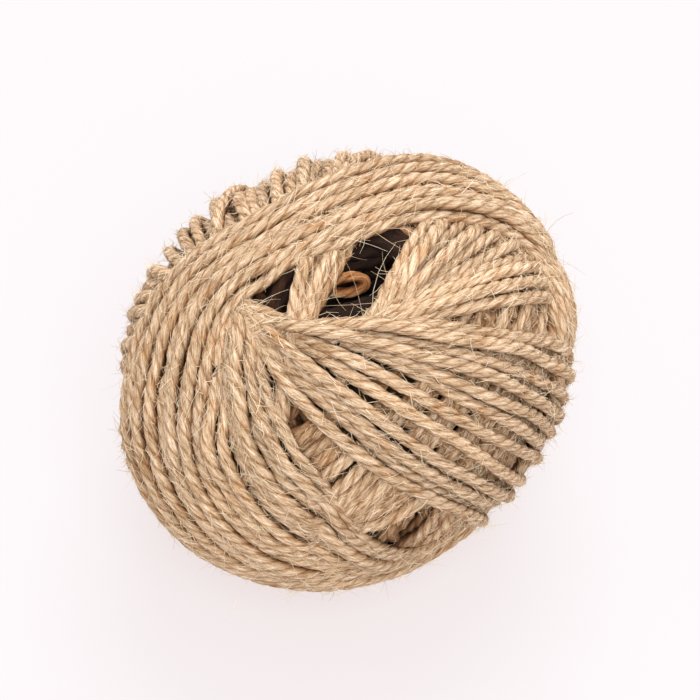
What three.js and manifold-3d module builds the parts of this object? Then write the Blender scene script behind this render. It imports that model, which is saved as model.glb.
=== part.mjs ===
// Ball of natural jute twine, resting on a small flat spot.
// Millimetres, +Z up. The origin is the middle of the flat spot under the ball.
// One solid: the wound body with its fan of turns and its eye, the band of last turns that
// lies over one side of the eye, and the pair of turns that bridges the eye.

import * as THREE from "three";
import { mergeVertices } from "three/addons/utils/BufferGeometryUtils.js";
import Module from "manifold-3d";

// Driving dimensions
const TWINE = 2.1;             // thickness of the twine
const HALF_LENGTH = 36.3;      // the ball's three half widths, over the last turns
const HALF_WIDTH = 32.0;
const HALF_DEPTH = 34.0;
const REST_CUT = 1.9;          // how far the lowest turns are pressed flat

// Directions are given in degrees as seen from in front and above, where the ball shows its eye:
// across and up are millimetres from the ball's middle in that view, and a turning angle there
// counts from level, on the right, upwards.
const LOOK_ELEVATION = 50;
const LENGTH_ROLL = 35;        // the long half width leans this far from level

// The fan: all turns of the body run from one knot beside the eye to the far side of the ball
const KNOT = { across: -16.4, up: 9.5 };
const FAN_RIDGES = 60;         // fewer and broader than the turns they stand for
const FAN_ROWS = 32;
const RIDGE_HEIGHT = TWINE / 2;
const FAN_SINK = 0.4;          // how far its crests lie under the ball's half widths
const RIDGE_FADE = [0.3, 0.62];    // share of the full width where ridges begin and are full
const FAN_BEND = 24;           // how far the turns beside the eye bend on their way,
const BEND_MIDDLE = 20;        // the turning angle of those that bend most,
const BEND_REACH = 55;         // and how far to both sides of them the bend fades

// Places where the last turns part and the older ones show: their turning angle around the knot,
// half their width in it, and where they begin and end on the way from the knot
const PARTINGS = [
  { name: "wide parting", middle: -56, half: 9.5, from: 24, to: 84, sink: 2.0 },
  { name: "side parting", middle: -2, half: 4.5, from: 62, to: 92, sink: 1.6 },
];

// The eye: a tapered oval well beside the knot
const EYE = { across: 1.2, up: 14.8 };
const EYE_LENGTH = 26;
const EYE_WIDTH = 13;
const EYE_ROLL = 26;
const EYE_DEPTH = 20;
const EYE_TAPER = 0.75;

// Sheets of turns on the body. turn is the way their flat side points in the view, lean is how
// far it faces the viewer, bow is how far a turn leaves a plane and shift where it leaves it most.
// Each value goes from the first turn to the last. reach is how far the sheet runs both ways
// from its middle, and lift is how far it stands over the body.
const SHEETS = [
  {
    name: "bridge", turns: 2, lift: -0.9, depth: 2.4, middle: -24, reach: 24, steps: 8,
    turn: [-17, -9], lean: [14, 13], bow: [0, 0], shift: [0, 0],
  },
  {
    name: "band", turns: 9, lift: 0.5, depth: 4.6, middle: 0, reach: 112, steps: 28,
    turn: [-12, -31, -25], lean: [52, 17, 5], bow: [15, 26, 30], shift: [23, 5, 7],
  },
];
const SHEET_GROOVE = TWINE / 3;        // depth of the grooves between its turns,
const SHEET_RIM = 1.1 * TWINE;         // of its steep long sides,
const SHEET_END_SINK = 1.5 * TWINE;    // and of its ends, which run under the body

const deg = THREE.MathUtils.degToRad;
const { lerp, smoothstep } = THREE.MathUtils;

// Directions of the view: right, up and towards the viewer
const RIGHT = new THREE.Vector3(1, 0, 0);
const UP = new THREE.Vector3(0, Math.sin(deg(LOOK_ELEVATION)), Math.cos(deg(LOOK_ELEVATION)));
const NEAR = new THREE.Vector3().crossVectors(RIGHT, UP);

function fromView(x, y, z) {
  return new THREE.Vector3()
    .addScaledVector(RIGHT, x)
    .addScaledVector(UP, y)
    .addScaledVector(NEAR, z);
}

// The ball's own directions: along its length, its width and its depth
const LENGTH_DIRECTION = fromView(Math.cos(deg(LENGTH_ROLL)), Math.sin(deg(LENGTH_ROLL)), 0);
const WIDTH_DIRECTION = fromView(-Math.sin(deg(LENGTH_ROLL)), Math.cos(deg(LENGTH_ROLL)), 0);
const BALL_AXES = [LENGTH_DIRECTION, WIDTH_DIRECTION, NEAR];
const HALVES = [HALF_LENGTH, HALF_WIDTH, HALF_DEPTH];

// Height of the ball's middle: its lowest reach, less what is pressed flat
const REACH_DOWN = Math.hypot(...BALL_AXES.map((axis, i) => axis.z * HALVES[i]));
const CENTRE = new THREE.Vector3(0, 0, REACH_DOWN - REST_CUT);

function toBall(direction) {
  return new THREE.Vector3(...BALL_AXES.map((axis) => direction.dot(axis)));
}

// Point on the ball, raised by lift, for a unit direction given along the ball's own axes
function onBall(q, lift) {
  const point = CENTRE.clone();
  const outward = new THREE.Vector3();
  q.toArray().forEach((share, i) => {
    point.addScaledVector(BALL_AXES[i], share * HALVES[i]);
    outward.addScaledVector(BALL_AXES[i], share / HALVES[i]);
  });
  return point.addScaledVector(outward.normalize(), lift);
}

// Unit direction along the ball's own axes for a place in the view
function placeInView({ across, up }) {
  const flat = toBall(fromView(across, up, 0));
  const u = flat.x / HALF_LENGTH;
  const v = flat.y / HALF_WIDTH;
  return new THREE.Vector3(u, v, Math.sqrt(1 - u * u - v * v));
}

function toGeometry(positions, index) {
  const geometry = new THREE.BufferGeometry();
  geometry.setAttribute("position", new THREE.Float32BufferAttribute(positions, 3));
  geometry.setIndex(index);
  return geometry;
}

// How deep a parting is at a place of the fan
function partingDepth(turning, along) {
  let depth = 0;
  for (const { middle, half, from, to, sink } of PARTINGS) {
    const aside = Math.abs(((turning - middle + 540) % 360) - 180);
    const width = half * Math.sin(Math.PI * THREE.MathUtils.clamp((along - from) / (to - from), 0, 1));
    if (aside < width) {
      depth = Math.max(depth, sink * smoothstep(width - aside, 0, 3));
    }
  }
  return depth;
}

// The wound body: ridges from the knot to the far side, with the partings sunk
function fanGeometry() {
  const knot = placeInView(KNOT);
  const level = toBall(RIGHT);
  const first = level.addScaledVector(knot, -level.dot(knot)).normalize();
  const second = new THREE.Vector3().crossVectors(knot, first);
  const columns = 2 * FAN_RIDGES;
  const positions = [...onBall(knot, -FAN_SINK - RIDGE_HEIGHT / 2).toArray()];
  for (let row = 1; row < FAN_ROWS; row++) {
    const along = (180 * row) / FAN_ROWS;
    const open = smoothstep(Math.sin(deg(along)), ...RIDGE_FADE);
    for (let column = 0; column < columns; column++) {
      const turning = (360 * column) / columns;
      const aside = ((turning - BEND_MIDDLE + 540) % 360) - 180;
      const bend = FAN_BEND * Math.exp(-((aside / BEND_REACH) ** 2)) * Math.cos(deg(along));
      const angle = deg(turning - bend);
      const q = new THREE.Vector3()
        .addScaledVector(knot, Math.cos(deg(along)))
        .addScaledVector(first, Math.sin(deg(along)) * Math.cos(angle))
        .addScaledVector(second, Math.sin(deg(along)) * Math.sin(angle));
      const valley = column % 2 === 1 ? 0.5 + 0.5 * open : 0.5 - 0.5 * open;
      const lift = -FAN_SINK - RIDGE_HEIGHT * valley - partingDepth(turning, along);
      positions.push(...onBall(q, lift).toArray());
    }
  }
  positions.push(...onBall(knot.clone().negate(), -FAN_SINK - RIDGE_HEIGHT / 2).toArray());
  const last = positions.length / 3 - 1;
  const index = [];
  for (let column = 0; column < columns; column++) {
    const next = (column + 1) % columns;
    index.push(0, 1 + column, 1 + next);
    for (let row = 0; row < FAN_ROWS - 2; row++) {
      const here = 1 + row * columns;
      const below = here + columns;
      index.push(here + column, below + column, below + next);
      index.push(here + column, below + next, here + next);
    }
    const end = 1 + (FAN_ROWS - 2) * columns;
    index.push(end + column, last, end + next);
  }
  return toGeometry(positions, index);
}

// Value at a share of the way through a short list
function through(list, share) {
  const at = share * (list.length - 1);
  const i = Math.min(Math.floor(at), list.length - 2);
  return lerp(list[i], list[i + 1], at - i);
}

function flatSideOf(turn, lean) {
  const level = Math.cos(deg(lean));
  return toBall(fromView(level * Math.cos(deg(turn)), level * Math.sin(deg(turn)), Math.sin(deg(lean))));
}

// Direction at an angle along one turn, near a plane through the ball's middle
function turnDirection(sheet, share, angle) {
  const flatSide = flatSideOf(through(sheet.turn, share), through(sheet.lean, share));
  const near = toBall(NEAR);
  const start = near.addScaledVector(flatSide, -near.dot(flatSide)).normalize();
  const side = new THREE.Vector3().crossVectors(flatSide, start);
  const off = deg(through(sheet.bow, share)) * Math.cos(2 * deg(angle - through(sheet.shift, share)));
  return new THREE.Vector3()
    .addScaledVector(start, Math.cos(off) * Math.cos(deg(angle)))
    .addScaledVector(side, Math.cos(off) * Math.sin(deg(angle)))
    .addScaledVector(flatSide, -Math.sin(off));
}

// A closed sheet of turns side by side: grooved on top, sunk into the body underneath
function sheetGeometry(sheet) {
  const lines = 2 * sheet.turns + 1;
  const rows = sheet.steps + 1;
  const top = [];
  const under = [];
  for (let row = 0; row < rows; row++) {
    const way = (2 * row) / sheet.steps - 1;
    const sink = SHEET_END_SINK * way ** 4;
    for (let line = 0; line < lines; line++) {
      const share = line / (lines - 1);
      const q = turnDirection(sheet, share, sheet.middle + way * sheet.reach);
      const rim = line === 0 || line === lines - 1;
      const groove = line % 2 === 1 ? 0 : rim ? SHEET_RIM : SHEET_GROOVE;
      top.push(...onBall(q, sheet.lift - groove - sink).toArray());
      under.push(...onBall(q, sheet.lift - sheet.depth - sink).toArray());
    }
  }
  const shift = top.length / 3;
  const index = [];
  const quad = (a, b, c, d) => index.push(a, b, c, a, c, d);
  for (let row = 0; row < rows - 1; row++) {
    const a = row * lines;
    const b = a + lines;
    for (let line = 0; line < lines - 1; line++) {
      quad(a + line, b + line, b + line + 1, a + line + 1);
      quad(shift + a + line, shift + a + line + 1, shift + b + line + 1, shift + b + line);
    }
    quad(a, shift + a, shift + b, b);
    quad(a + lines - 1, b + lines - 1, shift + b + lines - 1, shift + a + lines - 1);
  }
  const end = (rows - 1) * lines;
  for (let line = 0; line < lines - 1; line++) {
    quad(line, line + 1, shift + line + 1, shift + line);
    quad(end + line, shift + end + line, shift + end + line + 1, end + line + 1);
  }
  return toGeometry([...top, ...under], index);
}

// A tapered oval plug in the place of the eye
function eyeGeometry() {
  const q = placeInView(EYE);
  const mouth = onBall(q, 0);
  const direction = mouth.clone().sub(CENTRE).normalize();
  const along = fromView(Math.cos(deg(EYE_ROLL)), Math.sin(deg(EYE_ROLL)), 0);
  along.addScaledVector(direction, -along.dot(direction)).normalize();
  const over = new THREE.Vector3().crossVectors(direction, along);
  const plug = new THREE.CylinderGeometry(2 - EYE_TAPER, EYE_TAPER, 2 * EYE_DEPTH, 24);
  plug.rotateX(Math.PI / 2);
  const basis = new THREE.Matrix4().makeBasis(
    along.multiplyScalar(EYE_LENGTH / 2),
    over.multiplyScalar(EYE_WIDTH / 2),
    direction,
  );
  plug.applyMatrix4(basis.setPosition(mouth));
  return plug;
}

function floorGeometry() {
  const box = new THREE.BoxGeometry(4 * HALF_LENGTH, 4 * HALF_LENGTH, 10);
  return box.translate(0, 0, -5);
}

const wasm = await Module();
wasm.setup();

function toSolid(geometry) {
  geometry.deleteAttribute("normal");
  geometry.deleteAttribute("uv");
  const merged = mergeVertices(geometry, 1e-4);
  return new wasm.Manifold(new wasm.Mesh({
    numProp: 3,
    vertProperties: new Float32Array(merged.attributes.position.array),
    triVerts: new Uint32Array(merged.index.array),
  }));
}

// The triangles of the largest shell: a speck of space closed off between turns counts as filled
function outerShell(triangles) {
  const link = [];
  const root = (i) => {
    while (link[i] !== undefined) {
      link[i] = link[link[i]] ?? link[i];
      i = link[i];
    }
    return i;
  };
  const join = (a, b) => {
    if (root(a) !== root(b)) {
      link[root(a)] = root(b);
    }
  };
  for (let i = 0; i < triangles.length; i += 3) {
    join(triangles[i], triangles[i + 1]);
    join(triangles[i], triangles[i + 2]);
  }
  const sizes = new Map();
  triangles.forEach((i) => sizes.set(root(i), (sizes.get(root(i)) ?? 0) + 1));
  const largest = [...sizes.keys()].reduce((a, b) => (sizes.get(a) > sizes.get(b) ? a : b));
  return triangles.filter((_, i) => root(triangles[i - (i % 3)]) === largest);
}

// The eye is cut out of the body, the sheets are laid over it, and the flat spot is cut last
function ballGeometry() {
  let solid = toSolid(fanGeometry()).subtract(toSolid(eyeGeometry()));
  for (const sheet of SHEETS) {
    solid = solid.add(toSolid(sheetGeometry(sheet)));
  }
  const mesh = solid.subtract(toSolid(floorGeometry())).getMesh();
  const geometry = toGeometry(mesh.vertProperties, outerShell(Array.from(mesh.triVerts)));
  geometry.computeVertexNormals();
  return geometry;
}

const jute = new THREE.MeshStandardMaterial({ color: 0xbfa27a, roughness: 0.95, metalness: 0 });
const ball = new THREE.Mesh(ballGeometry(), jute);
ball.name = "twine_ball";

const part = new THREE.Group();
part.add(ball);

export default part;
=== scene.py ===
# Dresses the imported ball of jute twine: every turn of twine is laid as its own twisted strand.
# World units are metres. Lengths below are millimetres, and angles are degrees.

import math

import bpy
import numpy as np
from mathutils import Matrix


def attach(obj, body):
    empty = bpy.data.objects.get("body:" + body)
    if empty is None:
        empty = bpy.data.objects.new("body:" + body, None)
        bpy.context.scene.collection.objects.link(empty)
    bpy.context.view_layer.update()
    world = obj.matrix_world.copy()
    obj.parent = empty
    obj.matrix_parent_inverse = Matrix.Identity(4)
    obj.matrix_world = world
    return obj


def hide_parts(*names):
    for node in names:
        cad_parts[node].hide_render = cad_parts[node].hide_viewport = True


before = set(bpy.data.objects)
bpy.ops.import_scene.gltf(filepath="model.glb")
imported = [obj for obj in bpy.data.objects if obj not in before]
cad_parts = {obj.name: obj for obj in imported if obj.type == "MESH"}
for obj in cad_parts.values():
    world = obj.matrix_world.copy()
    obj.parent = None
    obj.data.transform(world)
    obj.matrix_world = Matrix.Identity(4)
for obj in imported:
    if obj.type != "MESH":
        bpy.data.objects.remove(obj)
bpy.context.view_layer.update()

MM = 0.001
CIRCLE = 2 * math.pi
rng = np.random.default_rng(20)

# The ball, as in its CAD source
TWINE = 2.1
RADIUS = TWINE / 2
HALVES = np.array([36.3, 32.0, 34.0])
MEAN_RADIUS = 34.0
REST_CUT = 1.9
LOOK_ELEVATION = math.radians(50)
LENGTH_ROLL = math.radians(35)

# Directions across and up the view and towards the viewer, and the ball's own axes
RIGHT = np.array([1.0, 0.0, 0.0])
UP = np.array([0.0, math.sin(LOOK_ELEVATION), math.cos(LOOK_ELEVATION)])
NEAR = np.cross(RIGHT, UP)
AXES = np.array([
    math.cos(LENGTH_ROLL) * RIGHT + math.sin(LENGTH_ROLL) * UP,
    -math.sin(LENGTH_ROLL) * RIGHT + math.cos(LENGTH_ROLL) * UP,
    NEAR,
])
CENTRE = np.array([0.0, 0.0, np.linalg.norm(AXES[:, 2] * HALVES) - REST_CUT])

# Groups of turns, from the first laid to the last. A turn runs near a plane through the ball's
# middle. Each key gives angle, lean, bow and shift: the way the plane's flat side points in the
# view, how far it faces the viewer, how far the turn leaves the plane and where it does so most.
# crest is how high the strands reach over the ball's half widths, dive is how far they give way
# to later ones, and wander and jitter are how far they stray and tilt. drawn is the part of each
# turn that is laid, counted from where it comes nearest to the viewer.
WHOLE = (0, 360)
PLANE_GROUPS = [
    {"name": "under_left", "turns": 19, "crest": -1.9, "dive": 1.2, "wander": 0.8, "jitter": 1.5,
     "keys": [(-64, -12, 0, 0), (-10, -25, 0, 0)], "drawn": WHOLE},
    {"name": "under_right", "turns": 18, "crest": -1.9, "dive": 1.2, "wander": 0.5, "jitter": 0.5,
     "keys": [(10, -38, 0, 0), (52, -33, 0, 0)], "drawn": WHOLE},
    {"name": "side_under", "turns": 8, "crest": -1.7, "dive": 1.2, "wander": 0.4, "jitter": 0.6,
     "keys": [(31, -36, 0, 0), (26, -64, 0, 0)], "drawn": WHOLE},
    {"name": "gap", "turns": 11, "crest": -1.2, "dive": 1.2, "wander": 0.6, "jitter": 1.25,
     "keys": [(-38, -18, 0, 0), (-42, -33, 0, 0), (-57, -43, 0, 0), (-74, -50, 0, 0)],
     "drawn": WHOLE},
    {"name": "rim", "turns": 21, "crest": -0.5, "dive": 1.4, "wander": 0.4, "jitter": 0.4,
     "keys": [(70, 4, 0, 0), (0, 5, 0, 0)], "drawn": (104, 318)},
    {"name": "bridge", "turns": 4, "crest": -1.3, "dive": 0.8, "wander": 0.3, "jitter": 0.0,
     "keys": [(-18, 13.5, 0, 0), (-3, 14.5, 0, 0)], "drawn": WHOLE},
    {"name": "fan_under", "turns": 8, "crest": -2.5, "dive": 1.2, "wander": 0.4, "jitter": 0.5,
     "keys": [(89, -10, 0, 0), (76, -7, 0, 0), (66, -4, 0, 0), (52, 4, 0, 0), (43, 5, 4, -17)],
     "drawn": WHOLE},
    {"name": "right_steep", "turns": 7, "crest": -0.2, "dive": 1.9, "wander": 0.4, "jitter": 0.4,
     "keys": [(155, 0.5, 0, 0), (117, -7.5, 0, 0)], "drawn": (0, 325)},
    {"name": "right", "turns": 3, "crest": -0.1, "dive": 1.7, "wander": 0.3, "jitter": 0.3,
     "keys": [(113, -9, 0, 0), (103, -8, 0, 0)], "drawn": (0, 325)},
    {"name": "fan", "turns": 12, "crest": 0.0, "dive": 2.0, "wander": 0.35, "jitter": 0.4,
     "keys": [(86, -12, 0, 0), (73, -8, 0, 0), (62, -4, 0, 0), (48, 4, 0, 0), (37, 7.5, 5.5, -17)],
     "drawn": WHOLE},
]

# Two later groups run round the middle of the view. inner, middle and outer give the angle
# between the strand and the view, for every 30 degrees round it from level on the right upwards.
# over is the part of each turn that is laid last of all. under is the part that goes on below
# the fan, so it is laid just before that group.
ROUND_GROUPS = [
    {"name": "left", "turns": 9, "crest": 0.1, "dive": 2.0, "wander": 0.3,
     "over": (138, 262), "under": (262, 335),
     "inner": (157, 158, 152, 130, 67, 30, 21, 20, 23, 38, 98, 148),
     "middle": (150, 152, 145, 120, 65, 33, 28, 30, 37, 53, 100, 140),
     "outer": (140, 145, 140, 110, 60, 36, 34, 39, 49, 66, 104, 130)},
    {"name": "band", "turns": 12, "crest": 0.2, "dive": 1.4, "wander": 0.3,
     "over": (28, 310), "under": (310, 388),
     "inner": (70, 70, 50, 36, 34, 36, 36, 43, 53, 69, 92, 90),
     "middle": (80, 80, 65, 48, 44, 49, 52, 58, 68, 79, 98, 98),
     "outer": (92, 92, 84, 61, 52, 61, 68, 76, 87, 90, 104, 108)},
]
UNDER_BEFORE = "fan"

# Older turns, layer under layer: each turn of a layer just passes by a long eye. Its place is
# given across and up the view. Its half length and half width are angles, given for the first
# and the last layer.
EYE = (1.2, 14.8)
EYE_ROLL = 26.0
EYE_HALF_LENGTHS = (24.0, 13.0)
EYE_HALF_WIDTHS = (9.0, 5.0)
LAYERS = 8
LAYER_TURNS = 40
LAYER_DROP = 1.7
LAYER_TOP = -3.2
LAYER_DIVE = 1.2
LAYER_WANDER = 0.5
LAYER_JITTER = 0.8
PRECESSION = 222.5

# Turns below SHADED_BELOW get painted shade as if up to EYE_SHADE deeper than they are, most so next
# to the eye
EYE_SHADE = 8.0
EYE_SHADE_ANGLE = 25.0
SHADED_BELOW = -2.8

# Samples along a turn, and the grid of cells that holds the heights of the twine
SAMPLES = 400
TURN_ANGLES = np.linspace(0, CIRCLE, SAMPLES, endpoint=False)
STEP = CIRCLE * MEAN_RADIUS / SAMPLES
PER_MM = SAMPLES / (CIRCLE * MEAN_RADIUS)
GRID = 112
FAR = 99.0

# Laying: how strands stray, press into each other, settle and bend, and the places across a
# strand where it rests on others and where it marks the grid
GOLDEN = 0.618
PLANE_WAVES = (2, 3, 5, 8)
ROUND_WAVES = (3, 5, 8)
LEVEL_JITTER = 0.1
SQUASH = 0.4
SLACK = 0.15
SETTLE_MOST = 0.7
SOFT_WIDE = 2.0
SOFT = 1.0
SOFT_FINE = 0.8
REST_ACROSS = np.linspace(-0.9, 0.9, 7) * RADIUS
STAMP_ACROSS = np.linspace(-1.0, 1.0, 11) * RADIUS

# What can be seen: places beside a strand that are looked at, and the shortest run that is kept
LOOK_ACROSS = np.arange(-1.6, 1.7, 0.4)
LOOK_UNDER = 0.05
RUN_MARGIN = 4
SHORTEST_RUN = 7

# The core under the turns, painted near black as the shade deep in the ball: its depth at angles from
# the eye
CORE_DEPTHS = (17.0, 6.5)
CORE_ANGLES = (26.0, 42.0)
CORE_RINGS = 24
CORE_COLUMNS = 48

# The floor: strands press on it a little and ease away from it, and no vertex is below the gap
FLOOR_PRESS = 0.93
FLOOR_EASE = 0.8
FLOOR_GAP = 0.02

# Twine: its sides, fewer for strands that stay below a height, its plies and the grooves between
# them, how its thickness varies, and how fast it and its fibres turn
SIDES = 12
SIDES_BELOW = 6
BELOW = -3.0
PLIES = 3
PLY_CREST = 1.02
PLY_GROOVE = 0.17
THIN = 0.94
THICK_JITTER = 0.05
THICK_SWELL = 0.03
THICK_WAVES = (7.0, 13.0, 29.0)
ROUGHNESS = 0.03
TWIST_PITCH = 8.0
FIBRE_TWIST = 0.35
FIBRE_LEAN = 18.0
NEXT_TURN = 37.0
TWINE_PIECES = 14
BAKE_MARGIN = 0.06

# A curled end in the eye: where its middle lies across and up the view and towards the viewer,
# its half widths, and the arc that it follows while it tightens and rises
CURL_PLACE = (0.5, 11.7, 24.8)
CURL_HALVES = (2.8, 1.2)
CURL_ROLL = 8.0
CURL_RADIUS = 0.78
CURL_POINTS = 70
CURL_START = -170
CURL_SWEEP = 375
CURL_TIGHTENS = 0.25
CURL_RISES = 1.2
CURL_DEPTH = -2.0
CURL_TAPER = 12
CURL_TIP = 0.02

# Loose fibres: how many in a piece, their length and points, and how far they turn aside and up.
# Of the stray ones, only those within an angle of the eye are kept.
SHORT_HAIRS = {"count": 10500, "length": 1.4, "points": 3, "spread": 28, "lift": (4, 35)}
LONG_HAIRS = {"count": 2200, "length": 2.8, "points": 5, "spread": 40, "lift": (4, 28)}
STRAY_HAIRS = {"count": 6000, "length": 5.5, "points": 5, "spread": 60, "lift": (0, 45)}
STRAY_WITHIN = 13.0
HAIR_RADIUS = 0.048
HAIR_THICKNESS = (0.7, 1.2)
HAIR_SIDES = 3
HAIR_TIP = 0.35
HAIR_ROOT = 0.92
HAIR_DEEPEST = -4.0
HAIR_ROUND = 45
HAIR_CURL = 0.22
HAIR_DROOP = 0.10
HAIR_LENGTH_SPREAD = 0.45

# Colour ramps, as positions and colours: loose fibres, the core's painted shade, streaks and clouds
# along the twine, painted shade in the creases between plies, painted shade on the flanks of a strand
# from below to its top, and painted shade by depth in the ball
HAIR_COLORS = [
    (0.0, (0.50, 0.34, 0.18)),
    (0.35, (0.74, 0.57, 0.37)),
    (1.0, (0.92, 0.79, 0.60)),
]
# Painted shade: the core is near black, with a little variation
CORE_SHADE_COLORS = [
    (0.3, (0.05, 0.03, 0.015)),
    (0.7, (0.12, 0.08, 0.04)),
]
STREAKS = [
    (0.38, (0.15, 0.085, 0.04)),
    (0.45, (0.43, 0.295, 0.17)),
    (0.54, (0.66, 0.49, 0.325)),
    (0.63, (0.94, 0.785, 0.60)),
]
CLOUDS = [
    (0.30, (0.84, 0.69, 0.54)),
    (0.44, (0.97, 0.94, 0.91)),
    (0.65, (1.08, 1.08, 1.08)),
]
# Painted shade in the creases between plies
PLY_CREASE_SHADE = [
    (0.0, (0.56, 0.44, 0.32)),
    (0.30, (0.86, 0.80, 0.74)),
    (0.70, (1.0, 1.0, 1.0)),
]
# Painted shade on the flanks and underside of a strand, lightest at its top
FLANK_SHADE = [
    (0.28, (0.32, 0.20, 0.11)),
    (0.50, (0.71, 0.61, 0.50)),
    (0.68, (0.95, 0.92, 0.88)),
    (0.80, (1.0, 1.0, 1.0)),
]
# Painted shade that deepens with depth in the ball
DEPTH_SHADE = [
    (0.0, (0.03, 0.014, 0.007)),
    (0.36, (0.12, 0.065, 0.035)),
    (0.60, (0.36, 0.26, 0.18)),
    (0.82, (0.72, 0.61, 0.50)),
    (1.0, (1.0, 1.0, 1.0)),
]
DEPTH_SHADE_RANGE = (-10.0, -3.0)
JUTE_TINT = (1.0, 0.98, 0.99)
CURL_TINT = (0.66, 0.44, 0.27)
PALEST_STRAND = 1.05
DARKEST_STRAND = 0.84
STREAK_STRETCH = 0.13
COARSE_SHARE = 0.55
BUMP_METRES = 0.00028

# Sockets of a mix node, by number: the two inputs and the output
MIX_NUMBERS = (2, 3, 0)
MIX_COLORS = (6, 7, 2)

# The setting, with the lamps in metres and watts
FLOOR_HALF = 3.0
FLOOR_COLOR = (0.13, 0.165, 0.18, 1)
FLOOR_GLOW = (1.0, 0.86, 0.848, 1)
FLOOR_GLOW_STRENGTH = 0.75
WORLD_COLOR = (1.0, 0.985, 0.99, 1)
WORLD_STRENGTH = 0.95
LAMP_SIZE = 0.7
LAMPS = [
    {"name": "key", "at": (0.10, -0.65, 0.85), "power": 8.7},
    {"name": "back", "at": (0.10, 0.45, 0.90), "power": 6.0},
]
CAMERA_DISTANCE = 370.0
FRAME_WIDTH = 105.0
SENSOR_WIDTH = 36.0
AIM_RIGHT = 0.83
AIM_UP = 2.5


def unit(v):
    return v / np.linalg.norm(v, axis=-1, keepdims=True)


def key_values(keys, share):
    """Values between rows of keys, at a share of the way from the first row to the last."""
    keys = np.array(keys, float)
    at = share * (len(keys) - 1)
    return np.array([np.interp(at, range(len(keys)), keys[:, i]) for i in range(keys.shape[1])])


def eye_direction():
    eye = AXES @ (EYE[0] * RIGHT + EYE[1] * UP) / HALVES
    return np.array([eye[0], eye[1], math.sqrt(1 - eye[0] ** 2 - eye[1] ** 2)])


TO_EYE = eye_direction()


def degrees_from_eye(q):
    return np.degrees(np.arccos(np.clip(q @ TO_EYE, -1, 1)))


def straying(angles, wander, all_waves):
    """Adds gentle waves to angles along a closed turn."""
    for waves in all_waves:
        size = wander / MEAN_RADIUS / math.sqrt(waves) * rng.normal()
        angles = angles + size * np.sin(waves * TURN_ANGLES + rng.uniform(0, CIRCLE))
    return angles


def flat_side(angle, lean):
    """Direction across a plane of turns, in the ball's own axes."""
    a, b = math.radians(angle), math.radians(lean)
    view = math.cos(b) * math.cos(a) * RIGHT + math.cos(b) * math.sin(a) * UP + math.sin(b) * NEAR
    return AXES @ view


def plane_path(side, bow, shift, wander):
    """Unit directions, in the ball's own axes, along one closed turn near a plane."""
    t = TURN_ANGLES
    start = unit(np.array([0.0, 0.0, 1.0]) - side[2] * side)
    across = np.cross(side, start)
    off = math.radians(bow) * np.cos(2 * (t - math.radians(shift)))
    off = straying(off, wander, PLANE_WAVES)
    q = np.cos(off)[:, None] * (np.cos(t)[:, None] * start + np.sin(t)[:, None] * across)
    return q - np.sin(off)[:, None] * side


def round_path(group, share):
    """Unit directions along one turn that runs round the middle of the view."""
    keys = key_values([group["inner"], group["middle"], group["outer"]], share)
    at = TURN_ANGLES / CIRCLE * len(keys)
    i = at.astype(int)
    f = at - i
    # A smooth closed curve through the keys
    before, here, after, beyond = (keys[(i + k) % len(keys)] for k in (-1, 0, 1, 2))
    polar = here + 0.5 * f * (after - before + f * (
        2 * before - 5 * here + 4 * after - beyond + f * (3 * (here - after) + beyond - before)))
    polar = straying(np.radians(polar), group["wander"], ROUND_WAVES)
    t = TURN_ANGLES - LENGTH_ROLL
    return np.stack([np.sin(polar) * np.cos(t), np.sin(polar) * np.sin(t), np.cos(polar)], -1)


def laying_order(count):
    """Places across a group in the order they are laid: each new turn goes between older ones."""
    return np.linspace(0, 1, count)[np.argsort((np.arange(count) * GOLDEN) % 1)]


def within(start, end):
    """Which samples of a turn lie from one angle to another."""
    return (np.arange(SAMPLES) * 360 / SAMPLES - start) % 360 <= end - start


def level_of(group):
    """Height of the middle of a strand over the ball's half widths."""
    return group["crest"] - RADIUS + LEVEL_JITTER * rng.normal()


def round_turns(group):
    return [{
        "path": round_path(group, share), "dive": group["dive"], "level": level_of(group),
        "drawn": within(*group["over"]), "under": within(*group["under"]),
    } for share in laying_order(group["turns"])]


def plane_turns(group):
    turns = []
    for share in laying_order(group["turns"]):
        angle, lean, bow, shift = key_values(group["keys"], share)
        angle += group["jitter"] * rng.normal()
        lean += group["jitter"] * rng.normal()
        turns.append({
            "path": plane_path(flat_side(angle, lean), bow, shift, group["wander"]),
            "dive": group["dive"], "level": level_of(group), "drawn": within(*group["drawn"]),
        })
    return turns


def layer_turns():
    """Older turns, from the top layer down."""
    along = math.cos(math.radians(EYE_ROLL)) * RIGHT + math.sin(math.radians(EYE_ROLL)) * UP
    second = unit(np.cross(TO_EYE, AXES @ along))
    first = np.cross(second, TO_EYE)
    turning = 0.0
    turns = []
    for layer in range(LAYERS):
        half_length = np.interp(layer, [0, LAYERS - 1], EYE_HALF_LENGTHS)
        half_width = np.interp(layer, [0, LAYERS - 1], EYE_HALF_WIDTHS)
        for _ in range(LAYER_TURNS):
            turning += PRECESSION
            a = math.radians(turning)
            reach = math.hypot(half_length * math.cos(a), half_width * math.sin(a))
            tilt = math.radians(reach + LAYER_JITTER * rng.normal())
            aside = math.cos(a) * first + math.sin(a) * second
            side = math.cos(tilt) * aside + math.sin(tilt) * TO_EYE
            turns.append({
                "path": plane_path(side, 0, 0, LAYER_WANDER),
                "dive": LAYER_DIVE, "level": LAYER_TOP - LAYER_DROP * layer - RADIUS,
                "drawn": np.ones(SAMPLES, bool),
            })
    return turns


def all_turns():
    """All turns from the last to the first."""
    last = [turn for group in ROUND_GROUPS for turn in round_turns(group)]
    turns = []
    for group in PLANE_GROUPS:
        if group["name"] == UNDER_BEFORE:
            turns += [dict(turn, drawn=turn["under"], joins=turn) for turn in last]
        turns += plane_turns(group)
    turns += last
    return turns[::-1] + layer_turns()


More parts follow.
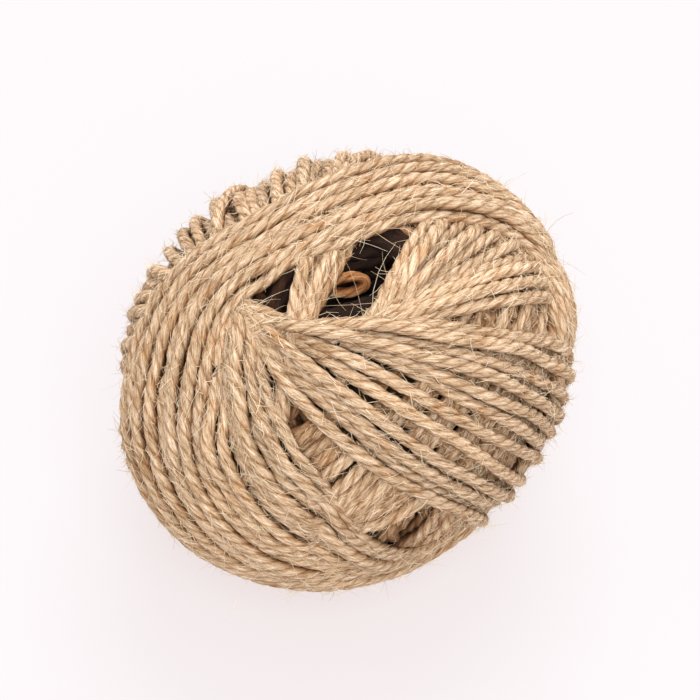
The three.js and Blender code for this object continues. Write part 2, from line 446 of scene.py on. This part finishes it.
def cell_of(q):
    """Index of each direction's cell on the six faces of a cube."""
    axis = np.argmax(np.abs(q), axis=-1)
    along, u, v = (np.take_along_axis(q, ((axis + k) % 3)[..., None], -1)[..., 0] for k in range(3))
    face = axis * 2 + (along < 0)
    iu, iv = (
        np.clip(((np.arctan(w / np.abs(along)) * 4 / math.pi + 1) / 2 * GRID).astype(int), 0, GRID - 1)
        for w in (u, v)
    )
    return (face * GRID + iu) * GRID + iv


def beside(path, distance, level):
    """Cells of the directions at a distance to the side of a path."""
    step = np.roll(path, -1, axis=0) - np.roll(path, 1, axis=0)
    lateral = unit(np.cross(path, step))
    return cell_of(unit(path + lateral * distance / (MEAN_RADIUS + level)))


def rise_at(distance):
    """How far a strand reaches over its middle, at a distance to the side."""
    return math.sqrt(max(RADIUS ** 2 - distance ** 2, 0))


def soften(values, length):
    """Smooths a closed run of values over a length."""
    width = length * PER_MM
    reach = int(3 * width) + 1
    k = np.exp(-0.5 * (np.arange(-reach, reach + 1) / width) ** 2)
    k /= k.sum()
    wrapped = np.concatenate([values[-reach:], values, values[:reach]])
    return np.convolve(wrapped, k, mode="valid")


def give_way(turns):
    """From the last turn down, lowers each one where others lie over it."""
    ceiling = np.full(6 * GRID * GRID, FAR)
    for turn in turns:
        path, drawn, level = turn["path"], turn["drawn"], turn["level"]
        cells = {d: beside(path, d, level) for d in (*REST_ACROSS, *STAMP_ACROSS)}
        room = np.full(SAMPLES, FAR)
        for d in REST_ACROSS:
            room = np.minimum(room, ceiling[cells[d]] - rise_at(d))
        room = np.maximum(room + SQUASH, level - turn["dive"])
        height = np.full(SAMPLES, level)
        for length in (SOFT_WIDE, SOFT_WIDE, SOFT_WIDE, SOFT_FINE):
            height = soften(np.minimum(height, room), length)
        for d in STAMP_ACROSS:
            np.minimum.at(ceiling, cells[d][drawn], (height - rise_at(d))[drawn])
        turn["height"] = height


def settle(turns):
    """From the first turn up, sinks each one on to those under it. Returns the final surface."""
    surface = np.full(6 * GRID * GRID, -CORE_DEPTHS[0])
    for turn in reversed(turns):
        path, drawn, height = turn["path"], turn["drawn"], turn["height"]
        level = height.mean()
        rest = np.full(SAMPLES, -FAR)
        for d in REST_ACROSS:
            rest = np.maximum(rest, surface[beside(path, d, level)] + rise_at(d))
        rest -= SQUASH
        for _ in range(2):
            rest = soften(np.maximum(rest, soften(rest, SOFT_WIDE)), SOFT)
        height = np.clip(rest + SLACK, height - SETTLE_MOST, height)
        height = soften(height, SOFT_FINE)
        for d in STAMP_ACROSS:
            np.maximum.at(surface, beside(path, d, level)[drawn], (height + rise_at(d))[drawn])
        turn["height"] = height
    return surface


def joined(turns):
    """Puts the parts of a turn that were laid under and over the fan together again."""
    for turn in turns:
        if "joins" in turn:
            whole = turn["joins"]
            both = np.where(turn["drawn"], turn["height"], whole["height"])
            whole["height"] = soften(both, SOFT)
            whole["drawn"] = whole["drawn"] | turn["drawn"]
    return [turn for turn in turns if "joins" not in turn]


def look_at(turns, surface):
    """Finds which parts of each turn can be seen, and how much painted shade they get near the eye, as
    extra depth.
    """
    for turn in turns:
        path, height = turn["path"], turn["height"]
        seen = np.zeros(SAMPLES, bool)
        for d in LOOK_ACROSS:
            seen |= surface[beside(path, d, height.mean())] < height + rise_at(d) + LOOK_UNDER
        from_eye = degrees_from_eye(path)
        seen &= height + RADIUS > -np.interp(from_eye, CORE_ANGLES, CORE_DEPTHS)
        turn["seen"] = seen & turn["drawn"]
        # Painted shade near the eye, for the older turns, given as extra depth
        shaded = turn["level"] < SHADED_BELOW
        turn["shade"] = EYE_SHADE * np.exp(-(from_eye / EYE_SHADE_ANGLE) ** 2) * shaded


def lay(turns):
    """Works out the height of each turn, and which parts of it can be seen."""
    give_way(turns)
    surface = settle(turns)
    turns = joined(turns)
    look_at(turns, surface)
    return turns


def place(path, height):
    """Points in the world at a height over the ball's half widths, and outward directions."""
    outward = unit(path / HALVES) @ AXES
    return CENTRE + (path * HALVES) @ AXES + outward * height[:, None], outward


def lift_off_floor(points):
    """Raises the points that lie too low, with a smooth way up to them."""
    low = RADIUS * FLOOR_PRESS - points[:, 2]
    eased = (low + FLOOR_EASE) ** 2 / (4 * FLOOR_EASE)
    points[:, 2] += np.where(low > -FLOOR_EASE, np.where(low > FLOOR_EASE, low, eased), 0)


def runs_of(seen):
    """Start and length of each run that can be seen, with a margin, round a closed turn."""
    kernel = np.ones(2 * RUN_MARGIN + 1)
    wrapped = np.concatenate([seen[-RUN_MARGIN:], seen, seen[:RUN_MARGIN]]).astype(float)
    wide = np.convolve(wrapped, kernel, mode="valid") > 0
    if wide.all():
        return [(0, SAMPLES + 1)]
    runs = []
    for start in np.flatnonzero(wide & ~np.roll(wide, 1)):
        length = 1
        while wide[(start + length) % SAMPLES]:
            length += 1
        runs.append((start, length))
    return [run for run in runs if run[1] >= SHORTEST_RUN]


def strand_runs(turns):
    """Centre lines in the world, with outward directions and how far along the twine they are."""
    runs = []
    for number, turn in enumerate(turns):
        height = turn["height"]
        points, outward = place(turn["path"], height)
        lift_off_floor(points)
        step = np.linalg.norm(np.roll(points, -1, axis=0) - points, axis=1)
        length = np.concatenate([[0], np.cumsum(step)])
        for start, count in runs_of(turn["seen"]):
            index = np.arange(start, start + count)
            wrap = index % SAMPLES
            runs.append({
                "points": points[wrap], "outward": outward[wrap], "radius": THIN * RADIUS,
                "s": length[wrap] + (index // SAMPLES) * length[-1] + NEXT_TURN * number,
                # depth is lowered by the painted shade near the eye
                "depth": (height - turn["shade"])[wrap],
                "sides": SIDES if height[wrap].max() > BELOW else SIDES_BELOW,
            })
    return runs


def curl_run():
    """A stiff curled end of twine that shows in the eye."""
    share = np.linspace(0, 1, CURL_POINTS)
    t = np.radians(CURL_START + CURL_SWEEP * share)
    across, up, near = CURL_PLACE
    long, short = (half * (1 - CURL_TIGHTENS * share) for half in CURL_HALVES)
    roll = math.radians(CURL_ROLL)
    x = across + long * np.cos(t) * math.cos(roll) - short * np.sin(t) * math.sin(roll)
    y = up + long * np.cos(t) * math.sin(roll) + short * np.sin(t) * math.cos(roll)
    z = near + CURL_RISES * share
    points = CENTRE + x[:, None] * RIGHT + y[:, None] * UP + z[:, None] * NEAR
    middle = CENTRE + across * RIGHT + up * UP + near * NEAR
    step = np.linalg.norm(np.diff(points, axis=0), axis=1)
    taper = np.clip(CURL_TAPER * np.minimum(share, 1 - share), CURL_TIP, 1) ** 0.5
    return {
        "points": points, "outward": unit(points - middle), "radius": CURL_RADIUS * taper,
        "s": np.concatenate([[0], np.cumsum(step)]),
        "depth": np.full(CURL_POINTS, CURL_DEPTH), "sides": SIDES,
    }


def tube(run):
    """Vertices of one run of twisted twine, with what its material needs to know.

    The vertices turn with the twist, so that each ply and each groove keeps its own.
    """
    points = run["points"]
    tangent = unit(np.gradient(points, axis=0))
    normal = unit(run["outward"] - (run["outward"] * tangent).sum(1, keepdims=True) * tangent)
    binormal = np.cross(tangent, normal)
    s = run["s"]
    own = np.linspace(0, CIRCLE, run["sides"], endpoint=False)[None, :]
    around = own - ((CIRCLE / TWIST_PITCH) * s[:, None] + rng.uniform(0, CIRCLE))
    own = np.broadcast_to(own, around.shape)
    lobe = np.abs(np.cos(own * PLIES / 2))
    thick = 1 + THICK_JITTER * rng.normal() * np.ones(len(s))
    for wave in THICK_WAVES:
        thick += THICK_SWELL * np.sin(CIRCLE * s / wave + rng.uniform(0, CIRCLE))
    rough = 1 + ROUGHNESS * rng.normal(size=own.shape)
    radius = (run["radius"] * thick)[:, None] * (PLY_CREST - PLY_GROOVE * (1 - lobe)) * rough
    ring = (np.cos(around)[:, :, None] * normal[:, None, :]
            + np.sin(around)[:, :, None] * binormal[:, None, :])
    vertices = points[:, None, :] + radius[:, :, None] * ring
    vertices[:, :, 2] = np.maximum(vertices[:, :, 2], FLOOR_GAP)
    turned = around + FIBRE_TWIST * (CIRCLE / TWIST_PITCH) * s[:, None]
    fibre = np.stack([RADIUS * np.cos(turned), RADIUS * np.sin(turned),
                      np.broadcast_to(s[:, None], own.shape)], -1)
    # tone: the strand's own random tone, its place across the plies and its depth, which the material
    # turns into painted shade in the creases and by depth
    tone = np.stack([np.full(own.shape, rng.uniform()), lobe,
                     np.broadcast_to(run["depth"][:, None], own.shape)], -1)
    # facing: how far each vertex faces outward, which the material turns into painted shade on the
    # flanks
    nothing = np.zeros(own.shape)
    facing = np.stack([np.cos(around), nothing, nothing], -1)
    return tuple(values.reshape(-1, 3) for values in (vertices, fibre, tone, facing))


def tube_faces(rows, sides, base, done):
    """Faces round a tube of rows of vertices, and their places in the bake."""
    i, j = np.meshgrid(np.arange(rows - 1), np.arange(sides), indexing="ij")
    k = (j + 1) % sides
    faces = np.stack([i * sides + j, i * sides + k, (i + 1) * sides + k, (i + 1) * sides + j], -1)
    strips = np.stack([i + done, j / sides, (j + 1) / sides], -1)
    return faces.reshape(-1, 4) + base, strips.reshape(-1, 3)


def new_mesh(name, vertices, quads):
    mesh = bpy.data.meshes.new(name)
    mesh.vertices.add(len(vertices))
    mesh.vertices.foreach_set("co", (vertices * MM).astype(np.float32).ravel())
    corners = quads.shape[1]
    mesh.loops.add(quads.size)
    mesh.loops.foreach_set("vertex_index", quads.astype(np.int32).ravel())
    mesh.polygons.add(len(quads))
    mesh.polygons.foreach_set("loop_start", np.arange(0, quads.size, corners, dtype=np.int32))
    mesh.update(calc_edges=True)
    mesh.polygons.foreach_set("use_smooth", np.ones(len(quads), bool))
    mesh.validate()
    return mesh


def add_vectors(mesh, name, values):
    attribute = mesh.attributes.new(name, "FLOAT_VECTOR", "POINT")
    attribute.data.foreach_set("vector", values.astype(np.float32).ravel())


def unwrap(mesh, strips, rows, shape):
    """Lays strips of faces under each other, for a bake.

    Each face has its row's number and the shares of the strip's width where it begins and ends.
    shape is how much longer a row is than it is wide.
    """
    columns = math.ceil(math.sqrt(rows / shape))
    lines = math.ceil(rows / columns)
    margin = BAKE_MARGIN
    u = (strips[:, 0] % columns)[:, None] + np.array([0, 0, 1, 1])
    v = (strips[:, 0] // columns)[:, None] + margin + (1 - 2 * margin) * strips[:, [1, 2, 2, 1]]
    layer = mesh.uv_layers.new(name="OFBake")
    layer.data.foreach_set("uv", np.stack([u / columns, v / lines], -1).astype(np.float32).ravel())


def add_piece(name, mesh, material):
    mesh.materials.append(material)
    piece = bpy.data.objects.new(name, mesh)
    bpy.context.scene.collection.objects.link(piece)
    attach(piece, "root")
    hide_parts("twine_ball")


def twine_piece(name, runs, material):
    """One object that holds several runs of twine."""
    parts = []
    base = 0
    done = 0
    for run in runs:
        rows = len(run["points"])
        parts.append(tube(run) + tube_faces(rows, run["sides"], base, done))
        base += rows * run["sides"]
        done += rows - 1
    vertices, fibre, tone, facing, faces, strips = (np.concatenate(part) for part in zip(*parts))
    mesh = new_mesh(name, vertices, faces)
    add_vectors(mesh, "fibre", fibre)
    add_vectors(mesh, "tone", tone)
    add_vectors(mesh, "facing", facing)
    unwrap(mesh, strips, done, STEP / (CIRCLE * RADIUS))
    add_piece(name, mesh, material)


def batches_of(runs):
    """Shares the runs out over the pieces of twine."""
    share = sum(len(run["points"]) for run in runs) / TWINE_PIECES
    batches = [[]]
    filled = 0
    for run in runs:
        if filled > share * len(batches):
            batches.append([])
        batches[-1].append(run)
        filled += len(run["points"])
    return batches


def hairs(runs, kind):
    """Centre lines of loose fibres that leave the strands."""
    count, points = kind["count"], kind["points"]
    open_runs = [run for run in runs if run["depth"].max() > HAIR_DEEPEST]
    weights = np.array([len(run["points"]) for run in open_runs], float)
    chosen = rng.choice(len(open_runs), size=count, p=weights / weights.sum())
    lines = np.zeros((count, points, 3))
    for line, which in zip(lines, chosen):
        run = open_runs[which]
        at = rng.integers(1, len(run["points"]) - 1)
        along = unit(run["points"][at + 1] - run["points"][at - 1]) * rng.choice([-1, 1])
        outward = run["outward"][at]
        side = np.cross(along, outward)
        turned = math.radians(rng.normal() * HAIR_ROUND)
        up = math.cos(turned) * outward + math.sin(turned) * side
        raised = math.radians(rng.uniform(*kind["lift"]))
        aside = math.radians(FIBRE_LEAN + rng.normal() * kind["spread"])
        flat = math.cos(aside) * along - math.sin(aside) * np.cross(along, up)
        heading = math.cos(raised) * flat + math.sin(raised) * up
        bend = rng.normal(size=3) * HAIR_CURL - HAIR_DROOP * outward
        step = rng.lognormal(math.log(kind["length"]), HAIR_LENGTH_SPREAD) / (points - 1)
        line[0] = run["points"][at] + up * RADIUS * HAIR_ROOT
        for k in range(1, points):
            line[k] = line[k - 1] + heading * step
            heading = unit(heading + bend)
    return lines


def over_eye(lines):
    """Which of the loose fibres lie over the eye."""
    towards = unit((lines[:, 2:].mean(axis=1) - CENTRE) @ AXES.T / HALVES)
    return towards @ TO_EYE > math.cos(math.radians(STRAY_WITHIN))


def fuzz_piece(name, lines, material):
    """Thin tubes along the loose fibres."""
    count, points = lines.shape[:2]
    along = unit(np.gradient(lines, axis=1))
    first = unit(np.cross(along, rng.normal(size=(count, 1, 3))))
    second = np.cross(along, first)
    taper = np.linspace(1.0, HAIR_TIP, points)
    around = np.arange(HAIR_SIDES) * CIRCLE / HAIR_SIDES
    ring = (np.cos(around)[:, None] * first[:, :, None, :]
            + np.sin(around)[:, None] * second[:, :, None, :])
    thick = HAIR_RADIUS * rng.uniform(*HAIR_THICKNESS, size=count)
    size = thick[:, None, None, None] * taper[:, None, None]
    vertices = (lines[:, :, None, :] + size * ring).reshape(-1, 3)
    vertices[:, 2] = np.maximum(vertices[:, 2], FLOOR_GAP)
    faces, strips = tube_faces(points, HAIR_SIDES, 0, 0)
    number = np.arange(count)[:, None, None]
    all_faces = (faces + number * points * HAIR_SIDES).reshape(-1, 4)
    all_strips = (strips + number * np.array([points - 1, 0, 0])).reshape(-1, 3)
    mesh = new_mesh(name, vertices, all_faces)
    shade = np.repeat(rng.uniform(size=count), points * HAIR_SIDES)
    add_vectors(mesh, "tone", np.stack([shade, shade, shade], -1))
    unwrap(mesh, all_strips, count * (points - 1), 1.0)
    add_piece(name, mesh, material)


def new_material(name, roughness, specular):
    material = bpy.data.materials.new(name)
    material.use_nodes = True
    shader = material.node_tree.nodes["Principled BSDF"]
    shader.inputs["Roughness"].default_value = roughness
    shader.inputs["Specular IOR Level"].default_value = specular
    return material, shader


def node(tree, kind, **values):
    made = tree.nodes.new(kind)
    for key, value in values.items():
        if key in made.inputs:
            made.inputs[key].default_value = value
        else:
            setattr(made, key, value)
    return made


def stored(tree, name):
    """Vector that the mesh holds under a name."""
    return node(tree, "ShaderNodeAttribute", attribute_name=name).outputs["Vector"]


def split(tree, vector):
    made = node(tree, "ShaderNodeSeparateXYZ")
    tree.links.new(vector, made.inputs["Vector"])
    return made.outputs


def noise(tree, vector, **values):
    made = node(tree, "ShaderNodeTexNoise", **values)
    tree.links.new(vector, made.inputs["Vector"])
    return made.outputs["Fac"]


def mix(tree, sockets, factor, first, second, **values):
    first_input, second_input, output = sockets
    made = node(tree, "ShaderNodeMix", **values)
    made.inputs["Factor"].default_value = factor
    tree.links.new(first, made.inputs[first_input])
    tree.links.new(second, made.inputs[second_input])
    return made.outputs[output]


def multiply(tree, first, second):
    return mix(tree, MIX_COLORS, 1.0, first, second, data_type="RGBA", blend_type="MULTIPLY")


def share_of(tree, value, low, high):
    """How far a value lies from low to high, from 0 to 1."""
    made = node(tree, "ShaderNodeMapRange")
    made.inputs["From Min"].default_value = low
    made.inputs["From Max"].default_value = high
    tree.links.new(value, made.inputs["Value"])
    return made.outputs["Result"]


def ramp(tree, source, stops):
    made = node(tree, "ShaderNodeValToRGB")
    elements = made.color_ramp.elements
    while len(elements) < len(stops):
        elements.new(0.5)
    for element, (position, color) in zip(elements, stops):
        element.position = position
        element.color = (*color, 1.0)
    tree.links.new(source, made.inputs["Fac"])
    return made.outputs["Color"]


def jute_material(name, tint):
    material, shader = new_material(name, roughness=0.85, specular=0.25)
    tree = material.node_tree
    fibre = stored(tree, "fibre")
    strand, lobe, depth = split(tree, stored(tree, "tone"))
    upward = split(tree, stored(tree, "facing"))["X"]

    stretch = node(tree, "ShaderNodeMapping")
    stretch.inputs["Scale"].default_value = (1.0, 1.0, STREAK_STRETCH)
    tree.links.new(fibre, stretch.inputs["Vector"])
    stretched = stretch.outputs["Vector"]
    fine = noise(tree, stretched, Scale=7.5, Detail=4.0, Roughness=0.7)
    coarse = noise(tree, stretched, Scale=2.6, Detail=4.0, Roughness=0.7)
    fibres = mix(tree, MIX_NUMBERS, COARSE_SHARE, fine, coarse, data_type="FLOAT")
    broad = noise(tree, fibre, Scale=0.30, Detail=3.0)

    strands = [(0.0, [DARKEST_STRAND * part for part in tint]),
               (1.0, [PALEST_STRAND * part for part in tint])]
    color = multiply(tree, ramp(tree, fibres, STREAKS), ramp(tree, broad, CLOUDS))
    color = multiply(tree, color, ramp(tree, strand, strands))
    # Painted shade in the creases between plies
    color = multiply(tree, color, ramp(tree, lobe, PLY_CREASE_SHADE))
    # Painted shade on the flanks and underside of each strand, lightest where it faces outward
    color = multiply(tree, color, ramp(tree, share_of(tree, upward, -1.0, 1.0), FLANK_SHADE))
    # Painted shade that deepens with depth in the ball, and near the eye with the painted eye shade
    color = multiply(tree, color, ramp(tree, share_of(tree, depth, *DEPTH_SHADE_RANGE), DEPTH_SHADE))
    tree.links.new(color, shader.inputs["Base Color"])

    bump = node(tree, "ShaderNodeBump", Strength=1.0, Distance=BUMP_METRES)
    tree.links.new(fibres, bump.inputs["Height"])
    tree.links.new(bump.outputs["Normal"], shader.inputs["Normal"])
    return material


def fuzz_material():
    material, shader = new_material("loose_fibre", roughness=0.6, specular=0.3)
    tree = material.node_tree
    tone = split(tree, stored(tree, "tone"))["X"]
    tree.links.new(ramp(tree, tone, HAIR_COLORS), shader.inputs["Base Color"])
    return material


def core_material():
    material, shader = new_material("core_painted_shade", roughness=0.95, specular=0.5)
    tree = material.node_tree
    spot = node(tree, "ShaderNodeTexCoord").outputs["Object"]
    speckle = noise(tree, spot, Scale=900.0, Detail=3.0)
    # Painted shade: the core is near black, with a fine speckle of the jute's own texture
    tree.links.new(ramp(tree, speckle, CORE_SHADE_COLORS), shader.inputs["Base Color"])
    return material


def core_piece():
    """The inside of the ball, painted near black as shade, seen only at the bottom of the eye."""
    columns = CORE_COLUMNS
    directions = []
    for i in range(1, CORE_RINGS):
        a = math.pi * i / CORE_RINGS
        for j in range(columns):
            b = CIRCLE * j / columns
            directions.append((math.sin(a) * math.cos(b), math.sin(a) * math.sin(b), math.cos(a)))
    top = len(directions)
    directions += [(0, 0, 1), (0, 0, -1)]
    last = (CORE_RINGS - 2) * columns
    ends = [(j, (j + 1) % columns) for j in range(columns)]
    faces = []
    for ring in range(0, last, columns):
        below = ring + columns
        faces += [(ring + j, below + j, below + k, ring + k) for j, k in ends]
    for j, k in ends:
        faces += [(top, j, k), (top + 1, last + k, last + j)]
    q = np.array(directions)
    points, _ = place(q, -np.interp(degrees_from_eye(q), CORE_ANGLES, CORE_DEPTHS))
    mesh = bpy.data.meshes.new("ball_core")
    mesh.from_pydata([tuple(point * MM) for point in points], [], faces)
    mesh.update()
    add_piece("ball_core", mesh, core_material())


def matrix_at(basis, at):
    matrix = np.eye(4)
    matrix[:3, :3] = np.stack(basis, axis=1)
    matrix[:3, 3] = at
    return Matrix(matrix.tolist())


def floor_piece():
    mesh = bpy.data.meshes.new("floor")
    corners = [(-1, -1), (1, -1), (1, 1), (-1, 1)]
    mesh.from_pydata([(x * FLOOR_HALF, y * FLOOR_HALF, 0) for x, y in corners], [], [(0, 1, 2, 3)])
    floor = bpy.data.objects.new("floor", mesh)
    bpy.context.scene.collection.objects.link(floor)
    material, shader = new_material("pale_floor", roughness=0.9, specular=0.0)
    shader.inputs["Base Color"].default_value = FLOOR_COLOR
    shader.inputs["Emission Color"].default_value = FLOOR_GLOW
    shader.inputs["Emission Strength"].default_value = FLOOR_GLOW_STRENGTH
    mesh.materials.append(material)


def add_lamp(name, at, power):
    light = bpy.data.lights.new(name, "AREA")
    light.shape = "DISK"
    light.size = LAMP_SIZE
    light.energy = power
    lamp = bpy.data.objects.new(name, light)
    bpy.context.scene.collection.objects.link(lamp)
    away = unit(np.array(at) - CENTRE * MM)
    side = unit(np.cross([0.0, 0.0, 1.0], away))
    lamp.matrix_world = matrix_at([side, np.cross(away, side), away], at)


def studio():
    floor_piece()
    world = bpy.data.worlds.new("studio")
    world.use_nodes = True
    background = world.node_tree.nodes["Background"]
    background.inputs["Color"].default_value = WORLD_COLOR
    background.inputs["Strength"].default_value = WORLD_STRENGTH
    bpy.context.scene.world = world
    for lamp in LAMPS:
        add_lamp(**lamp)
    bpy.context.scene.view_settings.view_transform = "Standard"


def photo_camera():
    data = bpy.data.cameras.new("photo_camera")
    data.sensor_width = SENSOR_WIDTH
    data.lens = SENSOR_WIDTH * CAMERA_DISTANCE / FRAME_WIDTH
    data.clip_start = 0.01
    camera = bpy.data.objects.new("photo_camera", data)
    bpy.context.scene.collection.objects.link(camera)
    at = CENTRE + AIM_RIGHT * RIGHT + AIM_UP * UP + CAMERA_DISTANCE * NEAR
    camera.matrix_world = matrix_at([RIGHT, UP, NEAR], at * MM)
    bpy.context.scene.camera = camera


photo_camera()
studio()
runs = strand_runs(lay(all_turns()))
jute = jute_material("jute_twine", JUTE_TINT)
for number, batch in enumerate(batches_of(runs), 1):
    twine_piece(f"twine_{number:02d}", batch, jute)
twine_piece("curled_end", [curl_run()], jute_material("brown_end", CURL_TINT))

straw = fuzz_material()
for name in ("fuzz_a", "fuzz_b"):
    fuzz_piece(name, hairs(runs, SHORT_HAIRS), straw)
long = hairs(runs, LONG_HAIRS)
stray = hairs(runs, STRAY_HAIRS)
fuzz_piece("loose_fibres", np.concatenate([long, stray[over_eye(stray)]]), straw)
core_piece()
